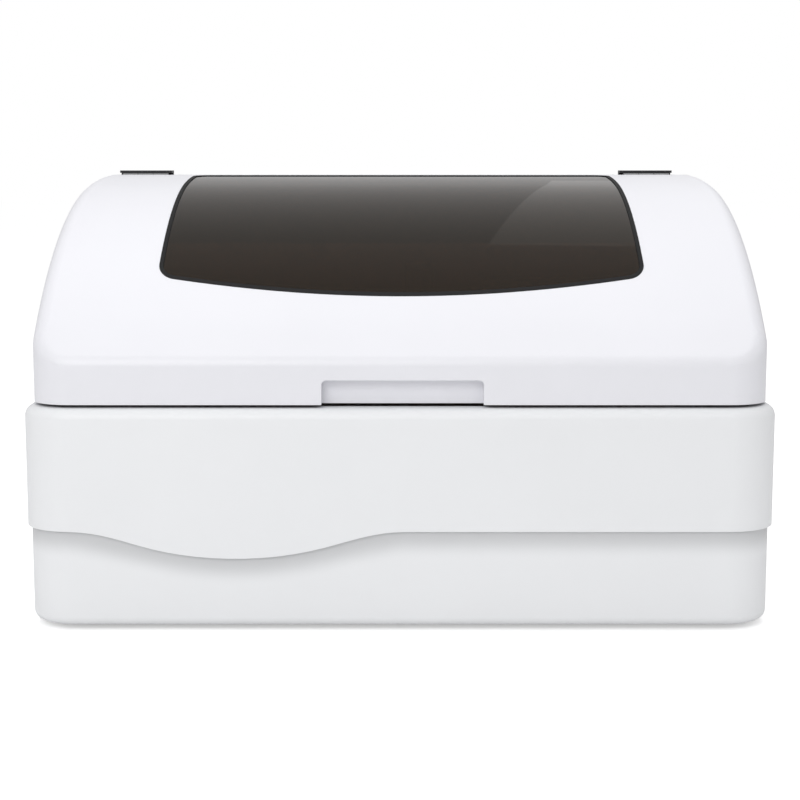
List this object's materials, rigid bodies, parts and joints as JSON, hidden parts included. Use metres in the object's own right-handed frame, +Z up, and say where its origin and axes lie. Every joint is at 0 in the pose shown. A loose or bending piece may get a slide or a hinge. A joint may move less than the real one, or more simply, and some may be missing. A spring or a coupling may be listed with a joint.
{
  "type": "clinical chemistry analyzer",
  "caption": "Benchtop clinical chemistry analyzer with a hinged hood, smoked curved window, sample and reaction disks, swinging sample and mixer arms and a wash station.",
  "frame": {"origin": "middle of the footprint, on the surface that the feet stand on", "axes": "+X to the right seen by the operator, -Y towards the operator, +Z up"},
  "size_m": [0.74, 0.58, 0.4472],
  "materials": {
    "casing_upper": "fine spark-textured moulding",
    "casing_lower": "fine spark-textured moulding",
    "hood_white": "satin moulding",
    "smoked_acrylic": "polished smoked sheet",
    "black_rubber": "matt",
    "black_plastic": "fine texture",
    "deck_grey": "fine texture",
    "well_dark": "matt",
    "sheet_steel": "zinc plated",
    "panel_paint": "powder coat",
    "steel": "ground",
    "aluminium": "machined",
    "bronze": "sintered",
    "gear_nylon": "natural nylon",
    "tray_blue": "moulded",
    "clear_plastic": "clear moulding",
    "bottle_plastic": "milky polythene",
    "rotor_black": "satin",
    "arm_white": "satin",
    "board_green": "solder mask"
  },
  "bodies": {
    "base": {"case_screws": "steel", "chassis_plate": "sheet_steel", "column_bushes": "black_plastic", "control_board": "board_green", "data_ports": "sheet_steel", "deck_posts": "sheet_steel", "disk_bearings": "bronze", "disk_motors": "black_plastic", "fan_frame": "black_plastic", "feet": "black_rubber", "fluid_ports": "aluminium", "hinge_brackets": "steel", "hinge_covers": "black_plastic", "hinge_pins": "steel", "lower_casing": "casing_lower", "motor_brackets": "sheet_steel", "photometer": "aluminium", "power_inlet": "black_plastic", "power_supply": "sheet_steel", "reaction_well": "well_dark", "reagent_well": "well_dark", "rear_housing": "casing_upper", "rear_panel": "panel_paint", "syringe_pump": "aluminium", "upper_casing": "casing_upper", "wash_pots": "arm_white", "wash_rail": "steel", "work_deck": "deck_grey"},
    "lid": {"lid_shell": "hood_white", "lid_window": "smoked_acrylic", "window_gasket": "black_rubber", "lid_bumpers": "black_rubber", "hinge_leaves": "steel"},
    "reagent_disk": {"reagent_tray": "tray_blue", "reagent_spindle": "steel", "reagent_gear": "gear_nylon", "sample_tubes": "clear_plastic", "reagent_bottles": "bottle_plastic", "tray_knob": "black_plastic"},
    "reagent_drive": {"reagent_pinion": "steel"},
    "reaction_disk": {"reaction_rotor": "rotor_black", "cuvette_segments": "clear_plastic", "rotor_cover": "rotor_black", "reaction_spindle": "steel", "reaction_gear": "gear_nylon"},
    "reaction_drive": {"reaction_pinion": "steel"},
    "sample_lifter": {"sample_column": "steel"},
    "sample_swinger": {"sample_arm": "arm_white", "sample_probe": "steel"},
    "mixer_lifter": {"mixer_column": "steel"},
    "mixer_swinger": {"mixer_arm": "arm_white"},
    "mixer_spinner": {"mixer_paddle": "steel"},
    "wash_lifter": {"wash_head": "arm_white"},
    "fan": {"fan_rotor": "black_plastic"},
    "rocker": {"power_rocker": "black_plastic"},
    "plunger": {"syringe_plunger": "black_plastic"}
  },
  "joints": [
    {"name": "lid_hinge", "type": "hinge", "parent": "base", "child": "lid", "pos_m": [-0.005, 0.177, 0.439], "axis": [-1, 0, 0], "range_deg": [0, 65]},
    {"name": "reagent_disk_spin", "type": "hinge", "parent": "base", "child": "reagent_disk", "pos_m": [-0.165, -0.065, 0.103], "axis": [0, 0, 1], "continuous": true},
    {"name": "reagent_pinion_spin", "type": "hinge", "parent": "base", "child": "reagent_drive", "pos_m": [-0.165, 0.013, 0.103], "axis": [0, 0, 1], "continuous": true},
    {"name": "reaction_disk_spin", "type": "hinge", "parent": "base", "child": "reaction_disk", "pos_m": [0.18, -0.075, 0.103], "axis": [0, 0, 1], "continuous": true},
    {"name": "reaction_pinion_spin", "type": "hinge", "parent": "base", "child": "reaction_drive", "pos_m": [0.18, 0.003, 0.103], "axis": [0, 0, 1], "continuous": true},
    {"name": "sample_lift", "type": "slide", "parent": "base", "child": "sample_lifter", "axis": [0, 0, 1], "range_m": [-0.05, 0]},
    {"name": "sample_swing", "type": "hinge", "parent": "sample_lifter", "child": "sample_swinger", "pos_m": [0.022, 0.06, 0.312], "axis": [0, 0, 1], "range_deg": [-56.24, 27.41]},
    {"name": "mixer_lift", "type": "slide", "parent": "base", "child": "mixer_lifter", "axis": [0, 0, 1], "range_m": [-0.05, 0]},
    {"name": "mixer_swing", "type": "hinge", "parent": "mixer_lifter", "child": "mixer_swinger", "pos_m": [0.11, 0.095, 0.298], "axis": [0, 0, 1], "range_deg": [-55.91, 0]},
    {"name": "mixer_spin", "type": "hinge", "parent": "mixer_swinger", "child": "mixer_spinner", "pos_m": [0.21032, 0.095, 0.298], "axis": [0, 0, 1], "continuous": true},
    {"name": "wash_lift", "type": "slide", "parent": "base", "child": "wash_lifter", "axis": [0, 0, 1], "range_m": [-0.045, 0]},
    {"name": "fan_spin", "type": "hinge", "parent": "base", "child": "fan", "pos_m": [0.19, 0.268, 0.33], "axis": [0, 1, 0], "continuous": true},
    {"name": "power_switch", "type": "hinge", "parent": "base", "child": "rocker", "pos_m": [-0.235, 0.2785, 0.2995], "axis": [0, 0, 1], "range_deg": [0, 14]},
    {"name": "syringe_stroke", "type": "slide", "parent": "base", "child": "plunger", "axis": [0, 0, 1], "range_m": [0, 0.04]}
  ],
  "couplings": [
    {"joint": "reagent_pinion_spin", "follows": "reagent_disk_spin", "ratio": -3.3333},
    {"joint": "reaction_pinion_spin", "follows": "reaction_disk_spin", "ratio": -3.3333}
  ]
}
